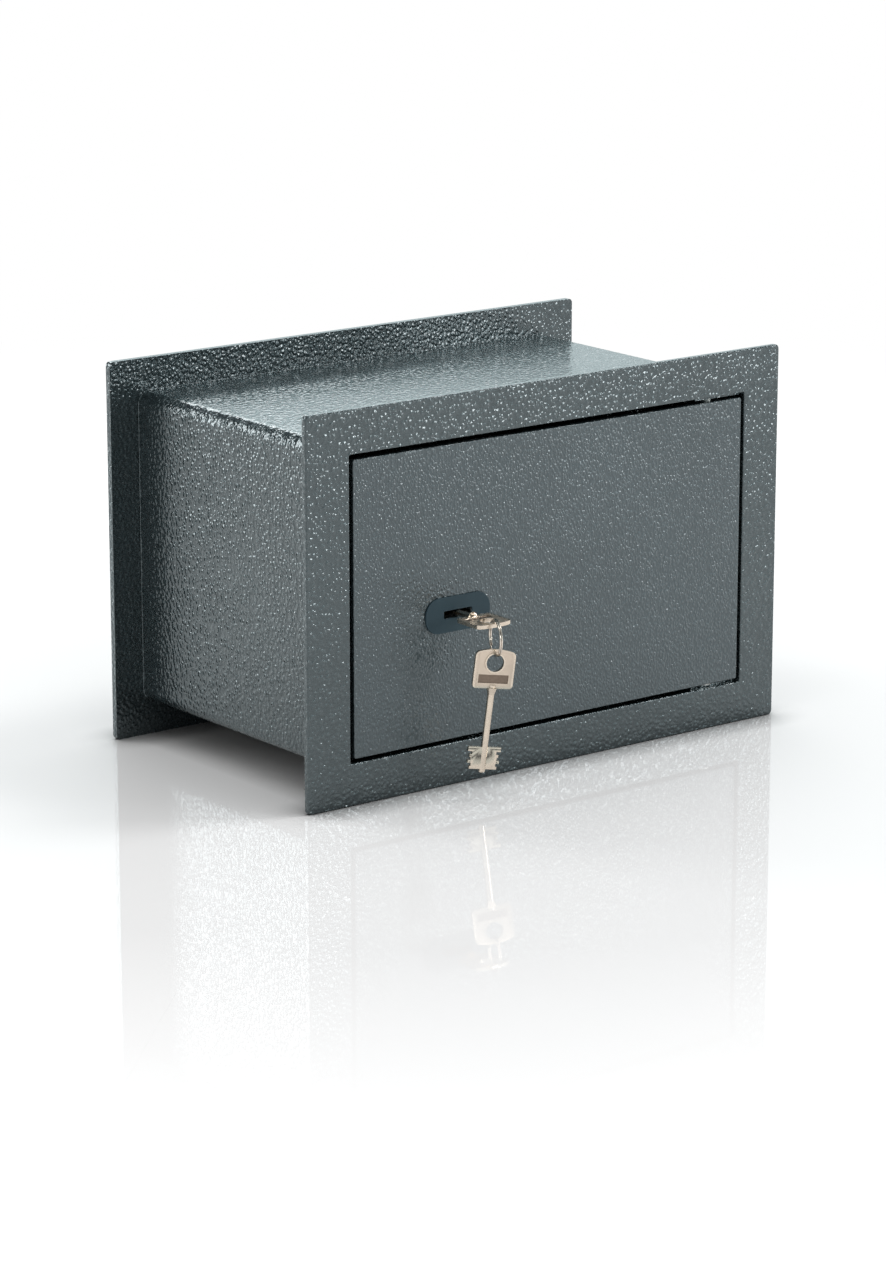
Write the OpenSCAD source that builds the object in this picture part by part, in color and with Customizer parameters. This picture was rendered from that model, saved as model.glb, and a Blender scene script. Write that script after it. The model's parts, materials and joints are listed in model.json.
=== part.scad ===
// Flanged wall safe with a hinged door, a double-bit lever lock, two locking bolts and two keys on a ring.
// X runs to the right, Y into the wall and Z up. The origin is the centre of the four anchor holes,
// on the back face of the rear plate. All sizes are in millimetres.

/* [Safe] */
// Width of the front frame and of the rear plate
flange_w = 350; // [320:1:420]
// Height of the front frame and of the rear plate
flange_h = 230; // [215:1:300]
// Depth from the front face to the back face
safe_d = 200; // [120:1:320]
// Thickness of the front frame's plate
frame_t = 4; // [3:0.5:4.5]
// Thickness of the rear plate
rear_t = 4; // [2:0.5:8]
// Corner radius of the two flanges
flange_r = 2.6; // [1:0.1:6]
// Overhang of both flanges beyond the body at the left, right and top
flange_out = 20; // [10:1:24]
// Overhang of both flanges beyond the body at the bottom
flange_under = 21; // [10:1:24]
// Wall thickness of the folded body
wall = 2; // [1.5:0.1:2.5]
// Outer bend radius of the folded body
bend_r = 6; // [3.5:0.1:8]

/* [Door] */
// Width of the frame left of the door opening
border_left = 30; // [28:0.5:32]
// Width of the frame right of the door opening
border_right = 27; // [26:0.5:28]
// Width of the frame above the door opening
border_top = 26; // [25:0.5:30]
// Width of the frame below the door opening
border_bottom = 25; // [24.5:0.5:30]
// Gap between the door and the frame at the sides and below
door_gap = 2.5; // [2.3:0.1:3.5]
// Gap between the door and the frame above
door_gap_top = 3; // [2.5:0.1:4]
// Thickness of the door plate
door_t = 5; // [4.5:0.5:5.5]
// Corner radius of the door plate
door_r = 1; // [0.5:0.1:3]

/* [Hinge] */
// Distance of the hinge pins from the door's right edge
pivot_in = 20; // [18:0.5:24]
// Radius of a hinge pin
pin_r = 3; // [2.5:0.1:3.2]
// Radial running clearance of a hinge pin in its bracket
pin_fit = 0.06; // [0.03:0.01:0.1]
// Thickness of a hinge bracket
bracket_t = 3; // [2:0.1:3]

/* [Lock] */
// Distance of the key axis from the door's left edge
key_in = 73.5; // [68:0.5:90]
// Height of the key axis above the door's lower edge
key_up = 74.5; // [68:0.5:95]
// Travel of the locking bolts
bolt_throw = 12; // [9:0.5:12]
// Radius of a locking bolt
bolt_r = 7; // [5:0.5:7]
// Distance of each locking bolt from the upper or lower edge of the front frame
bolt_in = 59; // [55:1:61]
// Number of levers in the lock
lever_count = 6; // [6]
// Thickness of one lever
lever_t = 1.35; // [1:0.05:1.4]
// Spacing of the levers along the key
lever_pitch = 1.75; // [1.75]
// Lift of the levers over the key's turn
lever_lift = 2; // [1:0.1:2]
// Depth of the inner door cover behind the door plate
cover_d = 38; // [38:0.5:50]

/* [Keys] */
// Length of a key from the bow's shoulder to the tip
key_l = 49.5; // [49.5]
// Width of a key across both bits
bit_w = 19.6; // [16:0.1:19.6]
// Radius of a key's shank
shank_r = 2; // [1.6:0.1:2]
// Thickness of a key's bow
bow_t = 2.2; // [1.6:0.1:2.4]
// Length of a key's bow
bow_l = 23; // [20:0.5:26]
// Width of a key's bow
bow_w = 24; // [20:0.5:24]
// Radius of the hole in the bow
bow_hole_r = 5; // [4.9:0.1:5.2]
// Distance of that hole's centre from the bow's end
bow_hole_in = 8; // [8:0.1:8.4]
// Radius of the split ring's centre line
ring_r = 10.3; // [10:0.1:11]
// Radius of the split ring's wire
ring_wire_r = 0.6; // [0.4:0.05:0.7]
// Lean of the hanging key from the vertical, in degrees
spare_lean = 7; // [0:1:10]

/* [Anchors] */
// Distance between the anchor holes across
anchor_x = 200; // [100:1:260]
// Distance between the anchor holes upwards
anchor_z = 120; // [60:1:140]
// Radius of an anchor hole
anchor_r = 5; // [3:0.5:8]

/* [Hidden] */
$fn = 64;
eps = 0.01;
seat_gap = 0.3;

// Body, measured from the origin, with y counted from the front face.
shell_w = flange_w - 2 * flange_out;
shell_top = flange_h / 2 - flange_out;
shell_bottom = -flange_h / 2 + flange_under;
shell_z = (shell_top + shell_bottom) / 2;
shell_d = safe_d - frame_t - rear_t;
shell_x = shell_w / 2 - wall;
open_left = -flange_w / 2 + border_left;
open_right = flange_w / 2 - border_right;
open_top = flange_h / 2 - border_top;
open_bottom = -flange_h / 2 + border_bottom;

// Door.
door_left = open_left + door_gap;
door_right = open_right - door_gap;
door_top = open_top - door_gap_top;
door_bottom = open_bottom + door_gap;

// Hinge.
pivot_x = door_right - pivot_in;
pivot_y = door_t + 1 + pin_r;
lug_w = 15;
lug_d = 11;
lug_h = 14;
bracket_gap = 1.2;
bracket_d = 17;
bracket_left = 13;
upper_bracket_z = door_top + bracket_gap;
lower_bracket_z = shell_bottom + wall;
washer_top = door_bottom - 0.2;
pin_in_lug = 11.5;
dog_t = 3;
dog_h = 30;
dog_z = 45;
dog_in = 11;
dog_tip_gap = 2;

// Lock, measured from the key axis.
lock_x = door_left + key_in;
lock_z = door_bottom + key_up;
slot_w = bit_w + 0.8;
slot_h = 2 * shank_r + 0.6;
bit_t = 2.4;
bit_slot_h = bit_t + 0.5;
shank_bore_r = shank_r + 0.35;
drill_t = 2;
case_t = 2;
case_y = door_t + 12;
case_d = 20;
cover_y = case_y + case_d - case_t;
case_w = 68;
case_h = 62;
case_screw_x = 29;
case_screw_z = 26;
standoff_r = 4;
lock_screw_r = 1.95;
lock_screw_hole_r = 2.1;
bar_y = case_y + case_t + 1.4;
bar_t = 2.4;
bolt_flat = 1;
lever_y = bar_y + bar_t + 0.4;
lever_end = lever_y + (lever_count - 1) * lever_pitch + lever_t;
bit_y = bar_y;
bit_l = lever_end + 0.1 - bit_y;
bitting = [2.6, 1.2, 2, 0.4, 2.4, 1.6];

// Drum: a flanged, slotted sleeve that takes the key.
drum_front_r = 12;
drum_r = 6.2;
drum_fit = 0.05;
journal_r = 5;
journal_y = cover_y - 0.8;
journal_end = cover_y + case_t + 2;
clip_y = cover_y + case_t + 0.3;
clip_t = 1;
clip_groove = 0.8;
key_tip_y = bit_y + bit_l + 2;

// Bolt bar and bolts, drawn back. The key moves them to the left by bolt_throw.
bolt_z = flange_h / 2 - bolt_in;
bolt_tip_gap = 0.8;
bolt_tip = -shell_x + bolt_tip_gap + bolt_throw;
bolt_y = bar_y - bolt_r + bolt_flat;
guide_gap = 3.5;
guide_x = door_left + guide_gap;
guide_t = 4;
guide_w = 40;
guide_h = 20;
guide_d = 19;
guide_base_t = 2;
bolt_fit = 0.1;
bolt_end = guide_x + guide_w + 2 + bolt_throw;
bar_left = guide_x + guide_t + 1.5 + bolt_throw;
bar_w = 16;
bar_over = 10;
rivet_r = 2.5;
rivet_l = 6;
bar_play = 0.5;
tail_right = 26;
tail_low = -14.5;
tail_high = 13.2;
// The bits sweep the tail's window, and push the bar at the talon, a notch above it.
talon_z = 7.4;
talon_play = 5.2;
bit_play = 0.5;
stump_x = -12;
stump_z = 17;
stump_r = 2.5;
stump_lug_right = -6;
stump_lug_high = 22;

// Levers, measured from the key axis.
lever_w = 40;
lever_top = 24;
lever_bottom = -26;
lever_r = 3;
window_w = bit_w + 1.6;
window_high = bit_w / 2 + bit_play;
window_low = -bit_w / 2 - lever_lift - bit_play;
post_r = 2;
post_fit = 0.2;
upper_post = [13, 17];
lower_post = [0, -18.5];
gate_play = 0.3;
spring_t = 0.4;
spring_w = 1.2;
spring_reach = 7;

// Inner door cover.
sheet = 1.2;
cover_left = guide_x - sheet - 0.3;
cover_right = open_right - 48;
cover_h = flange_h - 84;
cover_r = 3;
cover_post_r = 4;
cover_posts_x = [lock_x + 9, cover_right - 10];
cover_posts_z = cover_h / 2 - 9;
cover_back = door_t + cover_d;
screw_head_r = 3.6;
screw_head_h = 2.2;
bolt_hole_play = 0.8;

// Keys and ring.
shoulder_y = key_tip_y - key_l;
bow_r = 2;
rim_w = 0.8;
rim_h = 0.25;
panel_w = 18;
panel_l = 5;
panel_in = 3;
panel_depth = 0.5;
collar_r = 2.6;
collar_l = 2.4;
tip_bevel = 0.5;
hole_y = shoulder_y - bow_l + bow_hole_in;
// The ring hangs from the web between the bow's hole and its end, and swings round the web's middle.
web_y = hole_y - (bow_hole_r + bow_hole_in) / 2;
ring_swing_r = 2.65;
ring_turn_in = 0.5;
ring_centre = [0, web_y, ring_swing_r - ring_r];
// Direction of the ring's plane, in which the hanging key's bow faces, from -Y towards -X
ring_dir = 20.6;
// Height of the top of that bow's hole above the ring's centre line
spare_hang = ring_wire_r + 0.45;

// Children drawn with y counted from the front face of the safe.
module from_front() {
    translate([0, -safe_d, 0]) children();
}

// The same, with x and z counted from the key axis.
module from_key() {
    translate([lock_x, -safe_d, lock_z]) children();
}

// Plate of thickness t whose front is at y, cut to the outline drawn in x and z.
module plate(y, t) {
    translate([0, y + t, 0]) rotate([90, 0, 0]) linear_extrude(t) children();
}

// Round bar along Y from y0 to y1, at x and z.
module rod(x, z, r, y0, y1) {
    translate([x, y0, z]) rotate([-90, 0, 0]) cylinder(h = y1 - y0, r = r);
}

// Round bar along X from x0 to x1, at y and z.
module bar_x(y, z, r, x0, x1) {
    translate([x0, y, z]) rotate([0, 90, 0]) cylinder(h = x1 - x0, r = r);
}

// Round bar along Z from z0 to z1, at x and y.
module bar_z(x, y, r, z0, z1) {
    translate([x, y, z0]) cylinder(h = z1 - z0, r = r);
}

// Rectangle between two corners.
module rect(x0, z0, x1, z1) {
    translate([x0, z0]) square([x1 - x0, z1 - z0]);
}

// Rectangle between two corners, with corners rounded to r.
module round_rect(x0, z0, x1, z1, r) {
    rect(x0 + r, z0, x1 - r, z1);
    rect(x0, z0 + r, x1, z1 - r);
    for (x = [x0 + r, x1 - r], z = [z0 + r, z1 - r])
        translate([x, z]) circle(r);
}

// Slot with round ends between two points on a vertical or a level line.
module upright_slot(x, z0, z1, r) {
    rect(x - r, z0, x + r, z1);
    for (z = [z0, z1])
        translate([x, z]) circle(r);
}

// ---- Body ----

module flange_outline() {
    round_rect(-flange_w / 2, -flange_h / 2, flange_w / 2, flange_h / 2, flange_r);
}

module front_frame() color("#5c6a6e") from_front()
    plate(0, frame_t) difference() {
        flange_outline();
        rect(open_left, open_bottom, open_right, open_top);
    }

module shell_inside() {
    round_rect(-shell_x, shell_bottom + wall, shell_x, shell_top - wall, bend_r - wall);
}

module body_shell() color("#5c6a6e") from_front()
    plate(frame_t, shell_d) difference() {
        round_rect(-shell_w / 2, shell_bottom, shell_w / 2, shell_top, bend_r);
        shell_inside();
    }

module rear_plate() color("#5c6a6e") from_front()
    difference() {
        plate(safe_d - rear_t, rear_t) flange_outline();
        for (x = [-1, 1], z = [-1, 1])
            rod(x * anchor_x / 2, z * anchor_z / 2, anchor_r, safe_d - rear_t - 1, safe_d + 1);
    }

// Short fillet welds along the four sides of the body, at the flange whose face is at y.
// way is 1 where the welds reach from that face towards the back, -1 towards the front.
module weld_row(y, way) {
    leg = 2.5;
    weld_l = 14;
    side_welds = [-70, -35, 0, 35, 70];
    top_welds = [-120, -60, 0, 60, 120];
    outline = [[0, 0], [leg, 0], [0, way * leg]];
    for (s = [-1, 1], z = side_welds)
        translate([s * shell_w / 2, y, shell_z + z]) mirror([s < 0 ? 1 : 0, 0, 0])
            translate([0, 0, -weld_l / 2]) linear_extrude(weld_l) polygon(outline);
    for (s = [-1, 1], x = top_welds)
        translate([x, y, s > 0 ? shell_top : shell_bottom]) mirror([0, 0, s < 0 ? 1 : 0])
            rotate([0, -90, 0]) translate([0, 0, -weld_l / 2]) linear_extrude(weld_l) polygon(outline);
}

module rear_welds() color("#566468") from_front()
    weld_row(safe_d - rear_t, -1);

module front_welds() color("#566468") from_front()
    weld_row(frame_t, 1);

// ---- Hinge ----

// Flat bracket with its underside at z, cut to the inside of the body.
module bracket(z) {
    difference() {
        plate(frame_t, bracket_d) intersection() {
            rect(pivot_x - bracket_left, z, shell_x, z + bracket_t);
            shell_inside();
        }
        bar_z(pivot_x, pivot_y, pin_r + pin_fit, z - 1, z + bracket_t + 1);
    }
}

module upper_hinge_bracket() color("#566468") from_front()
    bracket(upper_bracket_z);

module lower_hinge_bracket() color("#566468") from_front()
    bracket(lower_bracket_z);

module hinge_washer() color("#b9b2a4") from_front()
    difference() {
        bar_z(pivot_x, pivot_y, 2 * pin_r, lower_bracket_z + bracket_t, washer_top);
        bar_z(pivot_x, pivot_y, pin_r + pin_fit, lower_bracket_z, door_bottom + 1);
    }

module lug(z) {
    difference() {
        translate([pivot_x - lug_w / 2, door_t, z]) cube([lug_w, lug_d, lug_h]);
        bar_z(pivot_x, pivot_y, pin_r, z - 1, z + lug_h + 1);
    }
}

module upper_hinge_lug() color("#566468") from_front()
    lug(door_top - lug_h);

module lower_hinge_lug() color("#566468") from_front()
    lug(door_bottom);

module upper_hinge_pin() color("silver") from_front()
    bar_z(pivot_x, pivot_y, pin_r, door_top - pin_in_lug, upper_bracket_z + bracket_t);

module lower_hinge_pin() color("silver") from_front()
    bar_z(pivot_x, pivot_y, pin_r, lower_bracket_z + seat_gap, door_bottom + pin_in_lug);

module fixed_dogs() color("#566468") from_front()
    for (s = [-1, 1])
        plate(door_t, dog_t)
            rect(pivot_x - dog_in, s * dog_z - dog_h / 2, shell_x - dog_tip_gap, s * dog_z + dog_h / 2);

// ---- Door ----

module key_slot() {
    round_rect(-slot_w / 2, -slot_h / 2, slot_w / 2, slot_h / 2, 0.8);
}

module door_plate() color("#5a686c") from_front()
    difference() {
        plate(0, door_t) round_rect(door_left, door_bottom, door_right, door_top, door_r);
        translate([lock_x, 0, lock_z]) plate(-1, door_t + 2) key_slot();
    }

module escutcheon() color("#2f4049") from_key()
    plate(-1, 1) difference() {
        round_rect(-23.2, -10.5, 23.2, 10.5, 9.6);
        key_slot();
    }

module drill_plate() color("#8d8f90") from_key()
    plate(door_t, drill_t) difference() {
        rect(-30, -20, 30, 20);
        key_slot();
    }

// ---- Lock ----

module case_corners() {
    for (x = [-1, 1], z = [-1, 1])
        translate([x * case_screw_x, z * case_screw_z]) children();
}

module lock_standoffs() color("#a8a6a0") from_key()
    plate(door_t, case_y - door_t) case_corners() difference() {
        circle(standoff_r);
        circle(lock_screw_r);
    }

module lock_case() color("#b08d45") from_key()
    difference() {
        plate(case_y, cover_y - case_y) rect(-case_w / 2, -case_h / 2, case_w / 2, case_h / 2);
        plate(case_y + case_t, case_d)
            rect(-case_w / 2 + case_t, -case_h / 2 + case_t, case_w / 2 - case_t, case_h / 2 - case_t);
        rod(0, 0, drum_front_r + drum_fit, case_y - 1, case_y + case_t + 1);
        plate(case_y - 1, case_t + 2) case_corners() circle(lock_screw_hole_r);
        plate(bar_y - bar_play, bar_t + 2 * bar_play)
            rect(-case_w / 2 - 1, tail_low - bar_play, -case_w / 2 + case_t + 1, stump_lug_high + bar_play);
        plate(lever_y - eps, lever_end - lever_y + 1)
            rect(-case_w / 2 - 1, stump_z - stump_r - bar_play, -case_w / 2 + case_t + 1,
                stump_z + stump_r + bar_play);
    }

module lock_cover() color("#b08d45") from_key()
    difference() {
        plate(cover_y, case_t) rect(-case_w / 2, -case_h / 2, case_w / 2, case_h / 2);
        rod(0, 0, journal_r + drum_fit, cover_y - 1, cover_y + case_t + 1);
        plate(cover_y - 1, case_t + 2) case_corners() circle(lock_screw_hole_r);
    }

// Slotted pan-head screw whose head sits on the face at y.
module screw(y, shank_from, r) {
    difference() {
        union() {
            plate(shank_from, y - shank_from) circle(r);
            plate(y, screw_head_h) circle(screw_head_r);
        }
        plate(y + screw_head_h - 1, 2) square([2 * screw_head_r + 1, 0.9], center = true);
    }
}

module lock_screws() color("silver") from_key()
    for (x = [-1, 1], z = [-1, 1])
        translate([x * case_screw_x, 0, z * case_screw_z])
            screw(cover_y + case_t, door_t + 2, lock_screw_r);

module lever_posts() color("silver") from_key()
    for (p = [upper_post, lower_post])
        rod(p[0], p[1], post_r, case_y + case_t, cover_y);

// One lever: a sliding plate with a window for the bits, a gate for the stump and two guide slots.
module lever(i) {
    gate_low = stump_z - lever_lift - stump_r - gate_play;
    gate_high = stump_z + stump_r + gate_play;
    color(i % 2 == 0 ? "#c6a75a" : "#b8994f") from_key()
        plate(lever_y + i * lever_pitch, lever_t) difference() {
            round_rect(-lever_w / 2, lever_bottom, lever_w / 2, lever_top, lever_r);
            rect(-window_w / 2, window_low, window_w / 2, window_high);
            rect(-lever_w / 2 - 1, gate_low, -8, gate_high);
            for (p = [upper_post, lower_post])
                upright_slot(p[0], p[1] - lever_lift, p[1], post_r + post_fit);
        }
}

module lever_1() lever(0);
module lever_2() lever(1);
module lever_3() lever(2);
module lever_4() lever(3);
module lever_5() lever(4);
module lever_6() lever(5);

// Leaf springs folded to a V, one above each lever, which push it back down.
module lever_springs() color("silver") from_key()
    for (i = [0 : lever_count - 1])
        plate(lever_y + i * lever_pitch + (lever_t - spring_w) / 2, spring_w)
            polygon([
                [-spring_reach, case_h / 2 - case_t], [-spring_reach, case_h / 2 - case_t - spring_t],
                [0, lever_top], [spring_t, lever_top], [spring_reach, case_h / 2 - case_t - spring_t],
                [spring_reach, case_h / 2 - case_t]
            ]);

module key_drum() color("#c0a45c") from_key()
    difference() {
        union() {
            rod(0, 0, drum_front_r, case_y, case_y + case_t);
            rod(0, 0, drum_r, case_y + case_t - eps, journal_y);
            rod(0, 0, journal_r, journal_y - eps, clip_y);
            rod(0, 0, journal_r - clip_groove, clip_y - eps, clip_y + clip_t + eps);
            rod(0, 0, journal_r, clip_y + clip_t, journal_end);
        }
        rod(0, 0, shank_bore_r, case_y - 1, key_tip_y + seat_gap);
        plate(case_y - 1, journal_y - case_y + 0.4)
            square([slot_w, bit_slot_h], center = true);
    }

module drum_clip() color("#55585a") from_key()
    plate(clip_y, clip_t) difference() {
        circle(journal_r + 1.8);
        circle(journal_r - clip_groove);
        rect(-1.5, 0, 1.5, journal_r + 3);
    }

// ---- Bolts ----

// Upright bar behind both bolts, with a tail that reaches through the lock case around the key.
module bolt_bar() color("#a8a6a0") from_front()
    difference() {
        plate(bar_y, bar_t) union() {
            rect(bar_left, -bolt_z - bar_over, bar_left + bar_w, bolt_z + bar_over);
            rect(bar_left + bar_w - eps, lock_z + tail_low, lock_x + tail_right, lock_z + tail_high);
            rect(bar_left + bar_w - eps, lock_z + tail_high - eps,
                lock_x + stump_lug_right, lock_z + stump_lug_high);
        }
        translate([lock_x, 0, lock_z]) plate(bar_y - 1, bar_t + 2) {
            rect(-bit_w / 2 - bit_play, -bit_w / 2 - bit_play, bit_w / 2 + bolt_throw + bit_play, talon_z);
            rect(bolt_throw / 2 - talon_play, talon_z - 1, bolt_throw / 2 + talon_play,
                bit_w / 2 + bit_play);
        }
        for (s = [-1, 1])
            rod(bar_left + bar_w / 2, s * bolt_z, rivet_r, bar_y - 1, bar_y + bar_t + 1);
    }

module bar_rivets() color("silver") from_front()
    for (s = [-1, 1])
        translate([bar_left + bar_w / 2, 0, s * bolt_z]) {
            rod(0, 0, rivet_r, bar_y + bar_t - rivet_l, bar_y + bar_t);
            rod(0, 0, rivet_r + 1.5, bar_y + bar_t, bar_y + bar_t + 1.2);
        }

module bolt_stump() color("silver") from_key()
    rod(stump_x, stump_z, stump_r, bar_y + bar_t, lever_end + 0.4);

// Round bolt along X, with a flat on its back that the bar is riveted to.
module bolt(z) {
    difference() {
        bar_x(bolt_y, z, bolt_r, bolt_tip, bolt_end);
        translate([bar_left, bar_y, z - bolt_r - 1]) cube([bar_w, bolt_r, 2 * bolt_r + 2]);
        rod(bar_left + bar_w / 2, z, rivet_r, bar_y + bar_t - rivet_l, bar_y + bar_t);
    }
}

module upper_bolt() color("silver") from_front() bolt(bolt_z);
module lower_bolt() color("silver") from_front() bolt(-bolt_z);

// Channel welded to the door, with a bore in each ear for the bolt.
module bolt_guide(z) {
    difference() {
        union() {
            translate([guide_x, door_t, z - guide_h / 2]) cube([guide_w, guide_base_t, guide_h]);
            for (x = [guide_x, guide_x + guide_w - guide_t])
                translate([x, door_t, z - guide_h / 2]) cube([guide_t, guide_d, guide_h]);
        }
        bar_x(bolt_y, z, bolt_r + bolt_fit, guide_x - 1, guide_x + guide_w + 1);
    }
}

module upper_bolt_guide() color("#566468") from_front() bolt_guide(bolt_z);
module lower_bolt_guide() color("#566468") from_front() bolt_guide(-bolt_z);

// ---- Inner door cover ----

module door_cover() color("#5f6d71") from_front()
    difference() {
        plate(door_t, cover_d)
            round_rect(cover_left, -cover_h / 2, cover_right, cover_h / 2, cover_r);
        plate(door_t - 1, cover_d - sheet + 1)
            round_rect(cover_left + sheet, -cover_h / 2 + sheet, cover_right - sheet, cover_h / 2 - sheet,
                cover_r - sheet);
        for (s = [-1, 1])
            bar_x(bolt_y, s * bolt_z, bolt_r + bolt_hole_play, cover_left - 1, cover_left + sheet + 1);
        for (x = cover_posts_x, s = [-1, 1])
            rod(x, s * cover_posts_z, lock_screw_hole_r, cover_back - sheet - 1, cover_back + 1);
    }

module cover_posts() color("#a8a6a0") from_front()
    for (x = cover_posts_x, s = [-1, 1])
        difference() {
            rod(x, s * cover_posts_z, cover_post_r, door_t, cover_back - sheet);
            rod(x, s * cover_posts_z, lock_screw_r, cover_back - 12, cover_back);
        }

module cover_screws() color("silver") from_front()
    for (x = cover_posts_x, s = [-1, 1])
        translate([x, 0, s * cover_posts_z]) screw(cover_back, cover_back - 11, lock_screw_r);

// ---- Keys ----

// Outline of both bits: a wide step for the bolt bar, then one step for each lever.
module bit_outline() {
    step_y = function(i) i == 0 ? bit_y : lever_y - 0.2 + (i - 1) * lever_pitch;
    steps = [0 : lever_count];
    right = [
        for (i = steps, e = [0, 1])
            [bit_w / 2 - (i == 0 ? 0 : bitting[i - 1]), i + e > lever_count ? bit_y + bit_l : step_y(i + e)]
    ];
    left = [for (k = [len(right) - 1 : -1 : 0]) [-right[k][0], right[k][1]]];
    polygon(concat(right, left));
}

// Key with its bow and bits lying flat and its shank along Y, the tip at key_tip_y.
module key_form() {
    panel_y = shoulder_y - panel_in - panel_l;
    difference() {
        union() {
            translate([0, 0, -bow_t / 2]) linear_extrude(bow_t)
                round_rect(-bow_w / 2, shoulder_y - bow_l, bow_w / 2, shoulder_y, bow_r);
            translate([0, hole_y, -bow_t / 2 - rim_h])
                cylinder(h = bow_t + 2 * rim_h, r = bow_hole_r + rim_w);
            rod(0, 0, collar_r, shoulder_y - 1, shoulder_y + collar_l);
            rod(0, 0, shank_r, shoulder_y - 2, key_tip_y - tip_bevel);
            rod(0, 0, shank_r - tip_bevel, key_tip_y - tip_bevel - eps, key_tip_y);
            translate([0, 0, -bit_t / 2]) linear_extrude(bit_t) bit_outline();
        }
        translate([0, hole_y, -bow_t]) cylinder(h = 2 * bow_t, r = bow_hole_r);
        for (s = [-1, 1])
            translate([0, panel_y + panel_l / 2, s * bow_t / 2])
                cube([panel_w, panel_l, 2 * panel_depth], center = true);
    }
}

module key() color("#cdbfae") from_key() key_form();

// Two touching turns of wire, in an upright plane.
module split_ring() color("#d2c8bc") from_key()
    translate(ring_centre) rotate([0, 0, -ring_dir]) rotate([0, 90, 0])
        rotate_extrude()
            for (s = [-1, 1])
                translate([ring_r, s * ring_turn_in]) circle(ring_wire_r);

// The spare key hangs from the bottom of the ring by the hole in its bow.
module spare_key() color("#cdbfae") from_key()
    translate(ring_centre + [0, 0, -ring_r])
        rotate([0, 0, -ring_dir]) rotate([0, spare_lean, 0])
            translate([0, 0, spare_hang - bow_hole_r]) rotate([-90, 0, 0])
                translate([0, -hole_y, 0]) key_form();

front_frame();
body_shell();
rear_plate();
rear_welds();
front_welds();
upper_hinge_bracket();
lower_hinge_bracket();
hinge_washer();
door_plate();
escutcheon();
drill_plate();
upper_hinge_lug();
lower_hinge_lug();
upper_hinge_pin();
lower_hinge_pin();
fixed_dogs();
upper_bolt_guide();
lower_bolt_guide();
lock_standoffs();
lock_case();
lock_cover();
lock_screws();
lever_posts();
lever_springs();
door_cover();
cover_posts();
cover_screws();
key_drum();
drum_clip();
bolt_bar();
bar_rivets();
bolt_stump();
upper_bolt();
lower_bolt();
lever_1();
lever_2();
lever_3();
lever_4();
lever_5();
lever_6();
key();
split_ring();
spare_key();
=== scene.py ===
import json
import math
import bmesh
import bpy
from mathutils import Matrix, Vector


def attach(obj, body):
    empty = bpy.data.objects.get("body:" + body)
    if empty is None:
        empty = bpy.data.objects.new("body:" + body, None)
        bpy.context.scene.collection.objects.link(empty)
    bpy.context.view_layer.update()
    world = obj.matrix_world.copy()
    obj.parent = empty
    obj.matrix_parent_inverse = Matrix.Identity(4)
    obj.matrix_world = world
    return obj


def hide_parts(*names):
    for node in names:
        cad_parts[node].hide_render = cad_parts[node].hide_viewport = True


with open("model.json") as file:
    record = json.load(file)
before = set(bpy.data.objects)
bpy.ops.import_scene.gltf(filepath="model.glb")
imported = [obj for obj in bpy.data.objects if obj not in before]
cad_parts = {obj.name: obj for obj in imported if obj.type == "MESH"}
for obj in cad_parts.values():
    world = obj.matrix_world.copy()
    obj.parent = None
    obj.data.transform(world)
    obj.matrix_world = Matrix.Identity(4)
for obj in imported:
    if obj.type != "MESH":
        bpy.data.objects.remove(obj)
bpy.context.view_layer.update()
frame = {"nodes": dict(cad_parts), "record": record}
nodes = frame["nodes"]
print("frame loaded:", len(nodes), "nodes")

mm = 0.001
floorLevel = -0.115                        # underside of both flanges
lockAt = Vector((-0.069, -0.2, -0.013))    # where the key's axis meets the door's front face
alongX, alongY = (0, math.pi / 2, 0), (math.pi / 2, 0, 0)      # turns that lay an upright rod down
creased = math.radians(35)                 # corners sharper than this stay sharp
hairline = 1e-6                            # two places closer than this are the same
past = 0.01                                # how far a box that cuts reaches past what it cuts
cutterLength = 20                          # of a rod that cuts a hole, in millimetres
noiseLow, noiseHigh = 0.3, 0.7             # nearly all values of a noise texture lie between these


def linearColour(hexCode):
    parts = [int(hexCode[i:i + 2], 16) / 255 for i in (1, 3, 5)]
    return [p / 12.92 if p <= 0.04045 else ((p + 0.055) / 1.055) ** 2.4 for p in parts] + [1.0]


def addNode(tree, kind, settings=None, **links):
    # settings are the node's own; a link is a constant or another node's output, and _0 is the first input
    node = tree.nodes.new(kind)
    for name, value in (settings or {}).items():
        setattr(node, name, value)
    for name, value in links.items():
        socket = node.inputs[int(name[1:])] if name[1:].isdigit() else node.inputs[name.replace("_", " ")]
        if isinstance(value, bpy.types.NodeSocket):
            tree.links.new(value, socket)
        else:
            socket.default_value = value
    return node


def newMaterial(name):
    material = bpy.data.materials.new(name)
    material.use_nodes = True
    material.node_tree.nodes.clear()
    return material, material.node_tree


def setRamp(ramp, stops):
    elements = ramp.color_ramp.elements
    while len(elements) < len(stops):
        elements.new(0.5)
    for element, (place, colour) in zip(elements, stops):
        element.position = place
        element.color = linearColour(colour)


def selectOnly(*objects):
    if bpy.context.object and bpy.context.object.mode != "OBJECT":
        bpy.ops.object.mode_set(mode="OBJECT")
    bpy.ops.object.select_all(action="DESELECT")
    for o in objects:
        o.select_set(True)
    bpy.context.view_layer.objects.active = objects[0]


def placeInMesh(o):
    selectOnly(o)
    bpy.ops.object.transform_apply(location=True, rotation=True, scale=True)


def editPick(kind, test):
    # selects the verts, edges or faces of the mesh in edit mode that pass the test
    mesh = bmesh.from_edit_mesh(bpy.context.edit_object.data)
    bpy.ops.mesh.select_mode(type={"verts": "VERT", "edges": "EDGE", "faces": "FACE"}[kind])
    bpy.ops.mesh.select_all(action="DESELECT")
    for item in getattr(mesh, kind):
        item.select_set(bool(test(item)))
    mesh.select_flush_mode()
    bmesh.update_edit_mesh(bpy.context.edit_object.data)


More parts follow.
